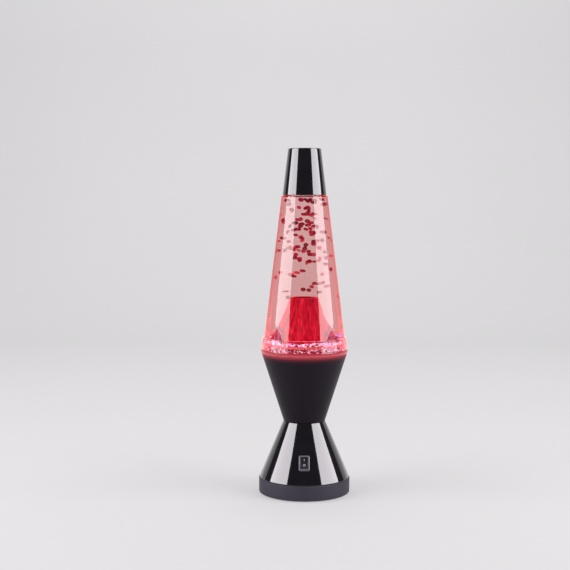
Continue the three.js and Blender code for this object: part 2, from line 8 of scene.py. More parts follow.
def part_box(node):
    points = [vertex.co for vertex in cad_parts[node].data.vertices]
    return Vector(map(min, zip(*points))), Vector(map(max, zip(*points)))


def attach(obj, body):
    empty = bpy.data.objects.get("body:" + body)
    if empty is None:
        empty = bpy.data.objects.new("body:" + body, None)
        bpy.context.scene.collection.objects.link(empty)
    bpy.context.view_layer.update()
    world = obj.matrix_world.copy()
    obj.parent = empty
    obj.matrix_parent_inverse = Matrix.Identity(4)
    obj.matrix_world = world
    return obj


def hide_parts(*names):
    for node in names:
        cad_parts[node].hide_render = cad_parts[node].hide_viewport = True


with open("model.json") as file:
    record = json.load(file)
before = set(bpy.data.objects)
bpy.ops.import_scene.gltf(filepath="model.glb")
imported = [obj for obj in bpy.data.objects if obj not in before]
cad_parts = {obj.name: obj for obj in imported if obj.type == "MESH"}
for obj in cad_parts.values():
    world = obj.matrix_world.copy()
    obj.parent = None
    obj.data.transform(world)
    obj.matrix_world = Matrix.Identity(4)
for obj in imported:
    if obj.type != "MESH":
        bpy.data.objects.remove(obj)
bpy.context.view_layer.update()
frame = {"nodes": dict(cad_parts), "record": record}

mm = 0.001
print("frame loaded:", len(frame["nodes"]), "nodes")


# working helpers

def deselectAll():
    if bpy.context.mode != "OBJECT":
        bpy.ops.object.mode_set(mode="OBJECT")
    bpy.ops.object.select_all(action="DESELECT")


def pick(*pieces):
    deselectAll()
    for piece in pieces:
        piece.select_set(True)
    bpy.context.view_layer.objects.active = pieces[0]


def newPiece(name):  # takes over the primitive that was just added
    piece = bpy.context.object
    piece.name = piece.data.name = name
    bpy.ops.object.transform_apply(location=True, rotation=True, scale=True)
    return piece


def smooth(piece, degrees=32):
    pick(piece)
    bpy.ops.object.shade_smooth_by_angle(angle=math.radians(degrees))


def applyModifier(piece, kind, **settings):
    pick(piece)
    modifier = piece.modifiers.new(kind.title(), kind)
    for key, value in settings.items():
        setattr(modifier, key, value)
    bpy.ops.object.modifier_apply(modifier=modifier.name)


def joined(name, pieces):
    pick(*pieces)
    if len(pieces) > 1:
        bpy.ops.object.join()
    piece = bpy.context.object
    piece.name = piece.data.name = name
    return piece


def rounded(corners, steps=4):  # [radius, z] or [radius, z, fillet], in millimetres
    points = []
    for i, corner in enumerate(corners):
        here = Vector(corner[:2])
        if len(corner) < 3:
            points.append(here)
            continue
        before = (Vector(corners[i - 1][:2]) - here).normalized()
        after = (Vector(corners[(i + 1) % len(corners)][:2]) - here).normalized()
        reach = corner[2] / math.tan(before.angle(after) / 2)
        for k in range(steps + 1):
            t = k / steps
            points.append(here + before * reach * (1 - t) ** 2 + after * reach * t ** 2)
    return points


# an outline that starts on the axis ends there, and any other closes on itself
def turnPiece(name, corners, sides=160):
    points = rounded(corners)
    solid = points[0].x == 0
    if solid:
        points = points[1:-1]
    else:
        points.append(points[0])
    deselectAll()
    bpy.ops.mesh.primitive_circle_add(vertices=sides, radius=points[0].x * mm,
                                      fill_type="NGON" if solid else "NOTHING",
                                      location=(0, 0, points[0].y * mm))
    piece = newPiece(name)
    bpy.ops.object.mode_set(mode="EDIT")
    bpy.ops.mesh.select_mode(type="FACE" if solid else "EDGE")
    bpy.ops.mesh.select_all(action="SELECT")
    for last, point in zip(points, points[1:]):
        grow = point.x / last.x
        rise = (0, 0, (point.y - last.y) * mm)
        bpy.ops.mesh.extrude_region_move(TRANSFORM_OT_translate={"value": rise})
        bpy.ops.transform.resize(value=(grow, grow, 1), center_override=(0, 0, 0))
    bpy.ops.mesh.select_all(action="SELECT")
    bpy.ops.mesh.remove_doubles(threshold=0.004 * mm)
    bpy.ops.mesh.normals_make_consistent(inside=False)
    bpy.ops.object.mode_set(mode="OBJECT")
    smooth(piece)
    return piece


# finishes

class Wire:  # a socket that can stand in a sum
    def __init__(self, finish, socket):
        self.finish = finish
        self.socket = socket

    def maths(self, operation, first, second):
        return self.finish.make("ShaderNodeMath", {"operation": operation}, {0: first, 1: second})

    def __add__(self, other):
        return self.maths("ADD", self, other)

    def __sub__(self, other):
        return self.maths("SUBTRACT", self, other)

    def __rsub__(self, other):
        return self.maths("SUBTRACT", other, self)

    def __mul__(self, other):
        return self.maths("MULTIPLY", self, other)

    __radd__ = __add__
    __rmul__ = __mul__


class Finish:
    def __init__(self, name, **sockets):
        self.material = bpy.data.materials.new(name)
        self.material.use_nodes = True
        self.tree = self.material.node_tree
        self.shader = self.tree.nodes["Principled BSDF"]
        self.set(**sockets)

    def feed(self, socket, value):
        if isinstance(value, Wire):
            self.tree.links.new(value.socket, socket)
        elif socket.type == "RGBA":
            socket.default_value = (*value, 1)
        else:
            socket.default_value = value

    def make(self, kind, settings=None, sockets=None, output=0):
        node = self.tree.nodes.new(kind)
        for key, value in (settings or {}).items():
            if key == "stops":
                ramp = node.color_ramp.elements
                while len(ramp) < len(value):
                    ramp.new(0.5)
                for element, (place, colour) in zip(ramp, value):
                    element.position = place
                    element.color = (*colour, 1)
            else:
                setattr(node, key, value)
        for key, value in (sockets or {}).items():
            self.feed(node.inputs[key], value)
        return Wire(self, node.outputs[output])

    def set(self, **sockets):  # Base_Color=... sets the shader's Base Color
        for key, value in sockets.items():
            self.feed(self.shader.inputs[key.replace("_", " ")], value)
        return self

    def place(self, stretch=(1, 1, 1), turn=(0, 0, 0)):
        where = self.make("ShaderNodeTexCoord", output=3)
        return self.make("ShaderNodeMapping", {}, {"Vector": where, "Scale": stretch, "Rotation": turn})

    def noise(self, size, detail=3, rough=0.5, stretch=(1, 1, 1)):  # size is in millimetres
        sockets = {"Vector": self.place(stretch), "Scale": 1 / (size * mm), "Detail": detail,
                   "Roughness": rough}
        return self.make("ShaderNodeTexNoise", {}, sockets)

    def ramp(self, factor, *stops):
        return self.make("ShaderNodeValToRGB", {"stops": stops}, {"Fac": factor})

    def spread(self, value, low, high, toLow=0.0, toHigh=1.0):
        sockets = {"Value": value, "From Min": low, "From Max": high, "To Min": toLow, "To Max": toHigh}
        return self.make("ShaderNodeMapRange", {}, sockets)

    def mixed(self, factor, first, second):
        return self.make("ShaderNodeMix", {"data_type": "RGBA"}, {0: factor, 6: first, 7: second}, 2)

    def bump(self, height, distance, strength=1.0):  # distance is in millimetres
        sockets = {"Height": height, "Distance": distance * mm, "Strength": strength}
        return self.set(Normal=self.make("ShaderNodeBump", {}, sockets))

    def lit(self, colour, share):  # painted glow: some of the colour is also emitted, standing in for the lamp's light on the part
        return self.set(Base_Color=colour, Emission_Color=self.mixed(share, (0.0, 0.0, 0.0), colour))

    def along(self, axis):  # one coordinate, in millimetres
        return self.make("ShaderNodeSeparateXYZ", {}, {0: self.place()}, axis) * (1 / mm)


def tinted(colour, by):
    return tuple(min(1.0, c * by) for c in colour)


def moulded(name, colour, rough, grain=0.4, depth=0.01, dust=0.06):  # an ordinary moulded plastic
    finish = Finish(name)
    shade = finish.noise(9, 4)
    specks = finish.noise(0.6, 2)
    finish.set(Base_Color=finish.mixed(shade, tinted(colour, 0.82), tinted(colour, 1.22)))
    finish.set(Roughness=finish.spread(shade * 0.7 + specks * 0.3, 0.3, 0.7, rough - dust, rough + dust))
    return finish.bump(finish.noise(grain, 3), depth)


def wear(piece, *finishes):
    piece.data.materials.clear()
    for finish in finishes:
        piece.data.materials.append(finish.material)


# the look of each plastic, metal and rubber

glossBlack = Finish("gloss_black", IOR=1.5, Coat_Weight=1.0, Coat_IOR=1.5, Coat_Roughness=0.02)
glossBlack.set(Base_Color=glossBlack.mixed(glossBlack.noise(12, 4), (0.0026, 0.002, 0.0032),
                                           (0.0055, 0.0046, 0.0066)))
glossBlack.set(Roughness=glossBlack.spread(glossBlack.noise(5, 5, 0.62), 0.35, 0.7, 0.03, 0.13))
glossBlack.bump(glossBlack.noise(3.2, 2), 0.004)


def satin(name):
    finish = moulded(name, (0.009, 0.0065, 0.0105), 0.4, 0.22, 0.006)
    finish.set(Specular_IOR_Level=0.1, Sheen_Weight=0.14, Sheen_Roughness=0.1)
    return finish.set(Sheen_Tint=(0.82, 0.76, 0.9))


satinBlack = satin("satin_black")
matteGrey = moulded("matte_grey", (0.024, 0.0205, 0.032), 0.62, 0.28, 0.03)
matteGrey.set(Specular_IOR_Level=0.35)
blackRubber = moulded("black_rubber", (0.016, 0.016, 0.017), 0.8, 0.5, 0.03)
whitePlastic = moulded("white_plastic", (0.52, 0.505, 0.48), 0.4)
redInsulation = moulded("red_insulation", (0.42, 0.015, 0.015), 0.45)

steel = Finish("steel", Metallic=1.0, Base_Color=(0.56, 0.56, 0.58))
steel.set(Roughness=steel.spread(steel.noise(0.5, 3, stretch=(1, 1, 12)), 0.3, 0.7, 0.22, 0.42))
nickel = Finish("nickel", Metallic=1.0)
nickel.set(Base_Color=nickel.mixed(nickel.noise(2, 4), (0.5, 0.47, 0.41), (0.66, 0.64, 0.58)))
nickel.set(Roughness=nickel.spread(nickel.noise(0.7, 3), 0.3, 0.7, 0.18, 0.36))

board = Finish("circuit_board", Roughness=0.35)
rings = board.make("ShaderNodeTexWave", {"wave_type": "RINGS", "rings_direction": "Z"},
                   {"Vector": board.place(), "Scale": 60.0}, 1)
track = board.spread(rings, 0.9, 0.93)  # copper tracks under the green mask
mask = board.mixed(board.noise(6, 3), (0.012, 0.09, 0.036), (0.018, 0.125, 0.05))
board.set(Base_Color=board.mixed(track, mask, (0.05, 0.24, 0.09)))
board.bump(track, 0.05)
sleeve = Finish("cell_sleeve", Roughness=0.25, Coat_Weight=0.6)
band = sleeve.spread(sleeve.along(0), 10, 10.4)
sleeve.set(Base_Color=sleeve.mixed(band, (0.03, 0.06, 0.22), (0.55, 0.42, 0.16)))

ledRed = Finish("led_red", Roughness=0.12, IOR=1.5, Emission_Strength=1.0)
heart = ledRed.spread(ledRed.noise(1.5, 1), 0.3, 0.7)
ledRed.set(Base_Color=ledRed.mixed(heart, (0.6, 0.01, 0.01), (0.8, 0.03, 0.02)))
ledRed.set(Emission_Color=ledRed.mixed(heart, (0.8, 0.015, 0.02), (1.0, 0.06, 0.05)))

slotFinish = {"red_led": ledRed, "gloss_black_plastic": glossBlack, "satin_black_plastic": satinBlack,
              "matte_grey_plastic": matteGrey, "black_rubber": blackRubber, "white_plastic": whitePlastic,
              "red_insulation": redInsulation, "steel": steel, "nickel": nickel, "circuit_board": board,
              "cell_sleeve": sleeve}
for row in frame["record"]["subparts"]:
    if row["material_slot"] in slotFinish:
        wear(frame["nodes"][row["node"]], slotFinish[row["material_slot"]])
print("finishes made")


def place(piece, body, slot, *nodes):
    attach(piece, body)
    if nodes:
        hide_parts(*nodes)


# camera, light and floor

camera = {"distance": 1.10, "height": 0.285, "pitch": -4.1, "yaw": 1.0, "lens": 70.6}
bpy.ops.object.camera_add(location=(0, -camera["distance"], camera["height"]),
                          rotation=(math.radians(90 + camera["pitch"]), 0, math.radians(camera["yaw"])))
bpy.context.object.data.lens = camera["lens"]
bpy.context.scene.camera = bpy.context.object

softbox = {"azimuth": 71, "distance": 1.05, "width": 1.0, "low": 0.25, "high": 1.27, "radiance": 7.2,
           "colour": (1.0, 0.955, 1.0)}
fillPanel = {"low": 0.04, "high": 0.25, "radiance": 1.3}
backLight = {"height": 1.9, "behind": 0.9, "size": 1.6, "watts": 30}
bpy.ops.object.light_add(type="AREA", location=(0, backLight["behind"], backLight["height"]),
                         rotation=(math.radians(35), 0, 0))
bpy.context.object.data.size = backLight["size"]
bpy.context.object.data.energy = backLight["watts"]
for side in (-1, 1):
    for panel in (softbox, fillPanel):
        angle = math.radians(softbox["azimuth"]) * side
        middle = (panel["low"] + panel["high"]) / 2
        tall = panel["high"] - panel["low"]
        spot = Vector((math.sin(angle), -math.cos(angle), 0)) * softbox["distance"]
        bpy.ops.object.light_add(type="AREA", location=spot + Vector((0, 0, middle)))
        lamp = bpy.context.object
        lamp.rotation_euler = (-spot).to_track_quat("-Z", "Y").to_euler()
        lamp.data.shape = "RECTANGLE"
        lamp.data.size, lamp.data.size_y = softbox["width"], tall
        lamp.data.energy = panel["radiance"] * softbox["width"] * tall * math.pi
        lamp.data.color = softbox["colour"]
        lamp.visible_transmission = False

world = bpy.data.worlds.new("studio")
bpy.context.scene.world = world
world.use_nodes = True
nodes, links = world.node_tree.nodes, world.node_tree.links
background = nodes["Background"]
background.inputs["Color"].default_value = (0.58, 0.573, 0.58, 1)
mirrored = nodes.new("ShaderNodeBackground")  # a dark room in the gloss, so that the softboxes stand out
mirrored.inputs["Color"].default_value = (0.06, 0.055, 0.066, 1)
rays = nodes.new("ShaderNodeLightPath")
choose = nodes.new("ShaderNodeMixShader")
links.new(rays.outputs["Is Glossy Ray"], choose.inputs[0])
links.new(background.outputs[0], choose.inputs[1])
links.new(mirrored.outputs[0], choose.inputs[2])
links.new(choose.outputs[0], nodes["World Output"].inputs["Surface"])

sweep = {"front": -2.6, "back": 1.9, "halfWidth": 3.2, "height": 2.4, "bend": 0.7}
deselectAll()
bpy.ops.mesh.primitive_plane_add(size=2, location=(0, 0, 0))
studio = bpy.context.object
studio.name = "studio_sweep"
studio.scale = (sweep["halfWidth"], (sweep["back"] - sweep["front"]) / 2, 1)
studio.location = (0, (sweep["back"] + sweep["front"]) / 2, 0)
bpy.ops.object.transform_apply(location=True, rotation=True, scale=True)
bpy.ops.object.mode_set(mode="EDIT")
bpy.ops.mesh.select_mode(type="EDGE")
bpy.ops.mesh.select_all(action="DESELECT")
bpy.ops.object.mode_set(mode="OBJECT")
for edge in studio.data.edges:
    edge.select = all(studio.data.vertices[v].co.y > 0 for v in edge.vertices)
bpy.ops.object.mode_set(mode="EDIT")
bpy.ops.mesh.extrude_region_move(TRANSFORM_OT_translate={"value": (0, 0, sweep["height"])})
bpy.ops.object.mode_set(mode="OBJECT")
for edge in studio.data.edges:
    ends = [studio.data.vertices[v].co for v in edge.vertices]
    edge.select = all(end.y > 0 and end.z < 0.01 for end in ends)
bpy.ops.object.mode_set(mode="EDIT")
bpy.ops.mesh.bevel(offset=sweep["bend"], segments=16, affect="EDGES")
bpy.ops.object.mode_set(mode="OBJECT")
smooth(studio, 60)
paper = Finish("studio_paper", Roughness=0.9, Specular_IOR_Level=0.1, Emission_Strength=1.0)
paper.set(Base_Color=paper.mixed(paper.noise(300, 2), (0.2, 0.198, 0.2), (0.212, 0.21, 0.212)))
paper.set(Emission_Color=(0.365, 0.36, 0.365))
wear(studio, paper)
bpy.context.scene.view_settings.view_transform = "Standard"
print("studio made")


# foot and base

foot = {"radius": 45, "edge": 0.9, "bore": 41.5, "lip": 40.2, "lipTop": 5.6, "lipLow": 3.6}
footLow, footHigh = (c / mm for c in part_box("foot_ring"))
footRing = turnPiece("foot_ring_visual", [
    [foot["bore"], footLow.z], [foot["radius"], footLow.z, foot["edge"]],
    [foot["radius"], footHigh.z, foot["edge"]], [foot["bore"], footHigh.z],
    [foot["bore"], foot["lipTop"]], [foot["lip"], foot["lipTop"]],
    [foot["lip"], foot["lipLow"]], [foot["bore"], foot["lipLow"]]])
wear(footRing, matteGrey)
place(footRing, "base", "matte_grey_plastic", "foot_ring")

waist = {"radius": 20.6, "wall": 2.0, "edge": 0.5}
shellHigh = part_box("lower_shell")[1] / mm
skirt = {"gap": 0.3, "bore": 39.6, "low": 5.9, "top": 22}
seam = footHigh.z + skirt["gap"]
lowerShell = turnPiece("lower_shell_visual", [
    [0, shellHigh.z], [waist["radius"], shellHigh.z, waist["edge"]],
    [shellHigh.x, seam, waist["edge"]], [foot["bore"] - skirt["gap"], seam],
    [foot["bore"] - skirt["gap"], skirt["low"]], [skirt["bore"], skirt["low"]],
    [skirt["bore"], skirt["top"]], [waist["radius"] - waist["wall"], shellHigh.z - waist["wall"]],
    [0, shellHigh.z - waist["wall"]]], 192)
wear(lowerShell, glossBlack)
place(lowerShell, "base", "gloss_black_plastic", "lower_shell")

socket = {"radius": 37.0, "wall": 2.0}
upperLow, upperHigh = (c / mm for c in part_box("upper_shell"))
flare = (upperHigh.x - waist["radius"]) / (upperHigh.z - upperLow.z)
socketLow = upperLow.z + (socket["radius"] + socket["wall"] - waist["radius"]) / flare
upperShell = turnPiece("upper_shell_visual", [
    [0, upperLow.z], [waist["radius"], upperLow.z, waist["edge"]], [upperHigh.x, upperHigh.z, 0.6],
    [socket["radius"], upperHigh.z, 0.4], [socket["radius"], socketLow],
    [waist["radius"] + waist["wall"] * (flare - 1), upperLow.z + waist["wall"]],
    [0, upperLow.z + waist["wall"]]], 192)
rimLit = satin("satin_black_lit_rim")
litDepth = 6.5  # how far down the painted red glow reaches: the dish's light falling on the rim, painted as emission
leak = rimLit.spread(rimLit.along(2), upperHigh.z - litDepth, upperHigh.z)
rimLit.set(Emission_Strength=1.0)
rimLit.set(Emission_Color=rimLit.ramp(leak, (0.0, (0, 0, 0)), (0.35, (0.014, 0.001, 0.002)),
                                      (0.7, (0.09, 0.007, 0.011)), (1.0, (0.34, 0.028, 0.038))))
wear(upperShell, rimLit)
place(upperShell, "base", "satin_black_plastic", "upper_shell")
print("base made")


# bottle, liquid, dish, closure and cap

bottle = {"lowRadius": 39.7, "lowZ": 155.0, "wall": 1.5, "shoulder": 22.7, "shoulderZ": 294.0}
lean = (bottle["lowRadius"] - bottle["shoulder"]) / (bottle["shoulderZ"] - bottle["lowZ"])


def bottleRadius(z):
    return bottle["shoulder"] + (bottle["shoulderZ"] - z) * lean


clear = Finish("clear_plastic", IOR=1.5, Transmission_Weight=1.0)
edgeOn = clear.make("ShaderNodeLayerWeight", {}, {"Blend": 0.5}, 1)
# painted light: the pink tint stands in for the red lamp's light in the bottle, and the deeper red towards
# the edges for the volcano's red seen refracted there
clear.set(Base_Color=clear.ramp(edgeOn, (0.0, (0.92, 0.68, 0.66)), (0.35, (0.95, 0.58, 0.56)),
                                (0.56, (1.0, 0.36, 0.34)), (0.74, (0.9, 0.07, 0.07))))
clear.set(Emission_Strength=1.0)  # painted glow: red emission where the wall is seen edge on, standing in for lamp light carried in the wall
clear.set(Emission_Color=clear.ramp(edgeOn, (0.3, (0, 0, 0)), (0.5, (0.07, 0.002, 0.003)),
                                    (0.7, (0.22, 0.01, 0.012)), (0.88, (0.46, 0.03, 0.03))))
clear.set(Roughness=clear.spread(clear.noise(7, 5, 0.6), 0.4, 0.75, 0.0, 0.035))
wetWall = Finish("wet_plastic", Base_Color=(1.0, 1.0, 1.0), IOR=1.128)
wetWall.set(Transmission_Weight=1.0, Roughness=0.0)
neck = {"root": 19.4, "shelf": 18.4, "shelfZ": 300.5, "radius": 13.4, "lowZ": 306, "topZ": 318, "bore": 11.9}
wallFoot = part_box("bottle_shell")[0].z / mm
bottleShell = turnPiece("bottle_shell_visual", [
    [bottleRadius(wallFoot) - bottle["wall"], wallFoot], [bottleRadius(wallFoot), wallFoot],
    [bottle["shoulder"], bottle["shoulderZ"], 1.2], [neck["root"], bottle["shoulderZ"] + 0.2, 0.8],
    [neck["shelf"], neck["shelfZ"], 1.5], [neck["radius"], neck["lowZ"], 1.5],
    [neck["radius"], neck["topZ"], 0.4], [neck["bore"], neck["topZ"], 0.4],
    [neck["bore"], neck["lowZ"] - 0.8, 1.0],
    [neck["shelf"] - 1.4, neck["shelfZ"] - 0.8, 1.0],
    [neck["root"] - bottle["wall"], bottle["shoulderZ"] - 1.4, 1.0],
    [bottle["shoulder"] - bottle["wall"], bottle["shoulderZ"] - bottle["wall"], 1.0]], 192)
wear(bottleShell, clear, wetWall)
filled = {"level": 297, "topRadius": 17.2, "neckRadius": 17.7}
for face in bottleShell.data.polygons:
    middle = face.center / mm
    inner = math.hypot(middle.x, middle.y) < bottleRadius(middle.z) - bottle["wall"] / 2
    if inner and middle.z < filled["level"]:
        face.material_index = 1
place(bottleShell, "bottle", "clear_plastic", "bottle_shell")

liquidFinish = Finish("clear_liquid", Base_Color=(1, 1, 1), IOR=1.0, Transmission_Weight=1.0, Roughness=0.0)
liquidFinish.set(Specular_IOR_Level=0.0)
# painted light: the pink absorption stands in for the red lamp's light filling the bottle
depth = liquidFinish.make("ShaderNodeVolumeAbsorption", {}, {"Color": (1.0, 0.45, 0.43), "Density": 9.0})
liquidFinish.tree.links.new(depth.socket, liquidFinish.tree.nodes["Material Output"].inputs["Volume"])
inset = bottle["wall"] + 0.05
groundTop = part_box("ground_plate")[1].z / mm
groundLow = groundTop - 1.7
liquid = turnPiece("liquid_visual", [
    [0, filled["level"]], [filled["topRadius"], filled["level"], 0.5],
    [filled["neckRadius"], bottle["shoulderZ"] - inset],
    [bottle["shoulder"] - inset, bottle["shoulderZ"] - inset],
    [bottleRadius(groundTop) - inset, groundTop + 0.1], [0, groundTop + 0.1]])
wear(liquid, liquidFinish)
place(liquid, "bottle", "clear_liquid", "liquid")

dish = {"floor": 141.3, "floorLow": 138.9, "skirtLow": 132.1, "skirtInner": 34.8, "skirtOuter": 36.4,
        "widest": 43.1, "widestZ": 142.4, "clearFrom": 143.2, "clearRadius": 42.95,
        "collarTop": 155.0, "collarRadius": 41.2, "gap": 0.3}
# painted light: the pink tint stands in for the lamp's light in the clear collar, and the emission at its
# edges is a painted highlight of the bright backdrop refracted there
collar = Finish("clear_collar", IOR=1.33, Transmission_Weight=1.0, Base_Color=(1.0, 0.72, 0.71))
collar.set(Emission_Strength=1.0)
rimOn = collar.make("ShaderNodeLayerWeight", {}, {"Blend": 0.5}, 1)
collar.set(Emission_Color=collar.ramp(rimOn, (0.35, (0, 0, 0)), (0.65, (0.2, 0.05, 0.06)),
                                      (0.9, (0.6, 0.28, 0.3))))
collar.set(Roughness=collar.spread(collar.noise(5, 3), 0.4, 0.7, 0.0, 0.03))
# painted glow: the clear dish's salmon red, in base colour and emission, stands in for the lamp's light in
# it; the stripes are its print layers
glow = Finish("dish_glow", IOR=1.46, Transmission_Weight=0.2, Roughness=0.14, Emission_Strength=1.0)
level = glow.along(2)
layers = glow.make("ShaderNodeTexNoise", {"noise_dimensions": "1D"},
                   {"W": level, "Scale": 1.3, "Detail": 4})
stripes = glow.spread(layers, 0.3, 0.7)
bright = glow.ramp(stripes, (0.0, (0.1, 0.002, 0.006)), (0.55, (0.24, 0.012, 0.02)),
                   (1.0, (0.38, 0.05, 0.065)))
fade = glow.spread(level, 146, 149, 1.0, 0.0)
glow.set(Emission_Color=glow.mixed(fade, (0.0, 0.0, 0.0), bright))
glow.set(Base_Color=glow.ramp(stripes, (0.0, (0.10, 0.006, 0.012)), (0.6, (0.2, 0.03, 0.04)),
                              (1.0, (0.34, 0.1, 0.12))))
bottleDish = turnPiece("bottle_dish_visual", [
    [0, dish["floorLow"]], [dish["skirtInner"], dish["floorLow"]], [dish["skirtInner"], dish["skirtLow"]],
    [dish["skirtOuter"], dish["skirtLow"]], [dish["skirtOuter"], dish["floorLow"]],
    [dish["widest"] - 0.6, dish["floorLow"], 1.2], [dish["widest"], dish["widestZ"], 2.0],
    [dish["clearRadius"], dish["clearFrom"]], [dish["collarRadius"], dish["collarTop"], 0.5],
    [bottleRadius(dish["collarTop"]) + dish["gap"], dish["collarTop"], 0.3],
    [bottleRadius(dish["clearFrom"]) + dish["gap"], dish["clearFrom"]],
    [bottleRadius(dish["floor"]) + dish["gap"], dish["floor"]], [0, dish["floor"]]], 192)
wear(bottleDish, glow, collar)
for face in bottleDish.data.polygons:
    if face.center.z / mm > dish["clearFrom"]:
        face.material_index = 1
place(bottleDish, "bottle", "clear_plastic", "bottle_dish")
for piece in (bottleShell, liquid, bottleDish):  # they cast no shadow, so the lamps light what is inside
    piece.visible_shadow = False

closure = {"radius": 15.0, "bore": 13.8, "thick": 2.2, "ribs": 48, "ribDepth": 0.55, "low": 308.2,
           "top": 320.0}
closureLow, closureHigh = (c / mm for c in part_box("bottle_closure"))
closureCap = turnPiece("bottle_closure_visual", [
    [0, closureHigh.z], [closure["radius"] - 0.6, closureHigh.z, 0.8],
    [closure["radius"], closure["top"] - 0.6, 0.3], [closure["radius"], closureLow.z + 1.9, 0.2],
    [closureHigh.x, closureLow.z + 1.4, 0.2], [closureHigh.x, closureLow.z], [closure["bore"], closureLow.z],
    [closure["bore"], closureHigh.z - closure["thick"]],
    [0, closureHigh.z - closure["thick"]]], closure["ribs"] * 4)
for vertex in closureCap.data.vertices:
    x, y, z = vertex.co / mm
    reach = math.hypot(x, y)
    if reach > closure["radius"] - 0.2 and closure["low"] < z < closure["top"] - 0.4:
        turn = math.atan2(y, x) * closure["ribs"]
        swell = 1 + closure["ribDepth"] / closure["radius"] * max(0.0, math.sin(turn))
        vertex.co.x *= swell
        vertex.co.y *= swell
smooth(closureCap, 40)
wear(closureCap, whitePlastic)
place(closureCap, "bottle", "white_plastic", "bottle_closure")

cap = {"low": 21.75, "top": 16.2, "wall": 1.6}
capLow, capHigh = (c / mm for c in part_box("top_cap"))
topCap = turnPiece("top_cap_visual", [
    [0, capHigh.z], [cap["top"], capHigh.z, 1.1], [cap["low"], capLow.z, 0.5],
    [cap["low"] - cap["wall"], capLow.z, 0.3], [cap["top"] - cap["wall"], capHigh.z - cap["wall"], 0.8],
    [0, capHigh.z - cap["wall"]]], 192)
wear(topCap, glossBlack)
place(topCap, "cap", "gloss_black_plastic", "top_cap")
print("bottle made")


# volcano, ground and what floats

volcano = {"foot": 25.4, "crater": 9.9, "wall": 1.6, "lipWall": 1.2, "sag": 1.1, "steps": 60, "ridge": 1.5,
           "crease": 0.5}
volcanoLow, volcanoHigh = (c.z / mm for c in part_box("volcano"))


def flankRadius(z):
    t = min(1.0, max(0.0, (z - volcanoLow) / (volcanoHigh - volcanoLow)))
    straight = volcano["foot"] + (volcano["crater"] - volcano["foot"]) * t
    return straight - volcano["sag"] * math.sin(math.pi * t)


def volcanoOutline():
    tall = volcanoHigh - volcanoLow
    levels = [volcanoLow + tall * i / volcano["steps"] for i in range(volcano["steps"] + 1)]
    outside = [[flankRadius(z), z] for z in levels]
    inside = [[flankRadius(z) - volcano["wall"], z] for z in levels[::-4]]
    inside[0][0] = volcano["crater"] - volcano["lipWall"]
    return outside + inside


def roughen(piece, wide, fine, keepBelow):  # moves the outside in and out in upright ridges
    for vertex in piece.data.vertices:
        x, y, z = vertex.co / mm
        reach = math.hypot(x, y)
        if reach < flankRadius(z) - 0.6:
            continue
        around = Vector((x / reach, y / reach, 0))
        runs = noise.fractal(around * 3.6 + Vector((0, 0, z * 0.02)), 1.0, 2.0, 3)
        creases = 1 - 2 * abs(noise.noise(around * 9 + Vector((4, 1, z * 0.06))))
        lift = (wide * runs + fine * creases - 0.2) * min(1.0, (z - keepBelow) / 4 + 0.3)
        vertex.co.x += around.x * lift * mm
        vertex.co.y += around.y * lift * mm
        if z > volcanoHigh - 0.6:
            vertex.co.z += 0.5 * noise.noise(around * 5) * mm - 0.5 * mm


lava = Finish("volcano_red", Roughness=0.34, IOR=1.13, Emission_Strength=1.0)
streaks = lava.noise(2.6, 4, 0.55, (1, 1, 0.05))
threads = lava.noise(0.9, 3, 0.6, (1, 1, 0.04))
flow = lava.spread(streaks * 0.7 + threads * 0.3, 0.33, 0.72)
lavaColour = lava.ramp(flow, (0.0, (0.2, 0.0, 0.008)), (0.45, (0.34, 0.001, 0.015)),
                       (0.8, (0.45, 0.007, 0.028)), (1.0, (0.58, 0.035, 0.055)))
# painted glow, stronger towards the foot, nearer the lamp below
lampGlowShare = lava.spread(lava.along(2), volcanoLow, volcanoLow + 26, 0.4, 0.22)
lava.lit(lavaColour, lampGlowShare)
lava.bump(flow, 0.25)

cone = turnPiece("volcano_cone", volcanoOutline(), 180)
roughen(cone, volcano["ridge"], volcano["crease"], volcanoLow)
peak = {"aside": 22.6, "forward": 12.0, "radius": 8.9, "height": 18.8, "lean": 1.4, "hollow": 0.2,
        "jag": 0.75}
crimsonRock = Finish("crag_crimson", Roughness=0.3, IOR=1.13, Emission_Strength=1.0)
rockStreaks = crimsonRock.spread(crimsonRock.noise(1.7, 4, 0.6, (1, 1, 0.22)), 0.36, 0.64)
rockColour = crimsonRock.ramp(rockStreaks, (0.0, (0.07, 0.001, 0.016)), (0.5, (0.24, 0.004, 0.045)),
                              (1.0, (0.5, 0.05, 0.11)))
# painted glow of the lamp's light on the crags
crimsonRock.lit(rockColour, 0.3)
crimsonRock.bump(rockStreaks, 0.3)
peaks = []


def fromPeak(spot):  # how far from the axis of the nearer side peak
    return math.hypot(abs(spot.x) - peak["aside"], spot.y + peak["forward"])


for side in (-1, 1):
    deselectAll()
    bpy.ops.mesh.primitive_cone_add(vertices=7, radius1=peak["radius"] * mm, radius2=0.15 * mm,
                                    depth=peak["height"] * mm, rotation=(0, 0, 0.7 * side))
    crag = newPiece("crag")
    bpy.ops.object.mode_set(mode="EDIT")
    bpy.ops.mesh.select_all(action="SELECT")
    bpy.ops.mesh.subdivide(number_cuts=5)
    bpy.ops.object.mode_set(mode="OBJECT")
    for vertex in crag.data.vertices:
        x, y, z = vertex.co / mm
        up = (z + peak["height"] / 2) / peak["height"]
        jag = noise.fractal(Vector((x, y, z * 0.35)) * 0.3 + Vector((7 * side, 0, 0)), 1.0, 2.0, 3)
        spread = (1 - peak["hollow"] * math.sin(math.pi * up)) * (1 + peak["jag"] * jag * (1 - up))
        aside = (peak["aside"] - peak["lean"] * up) * side
        vertex.co = Vector((x * spread + aside, y * spread - peak["forward"],
                            z + volcanoLow + peak["height"] / 2)) * mm
    smooth(crag, 18)
    wear(crag, crimsonRock)
    peaks.append(crag)
wear(cone, lava)
volcanoPiece = joined("volcano_visual", [cone, *peaks])
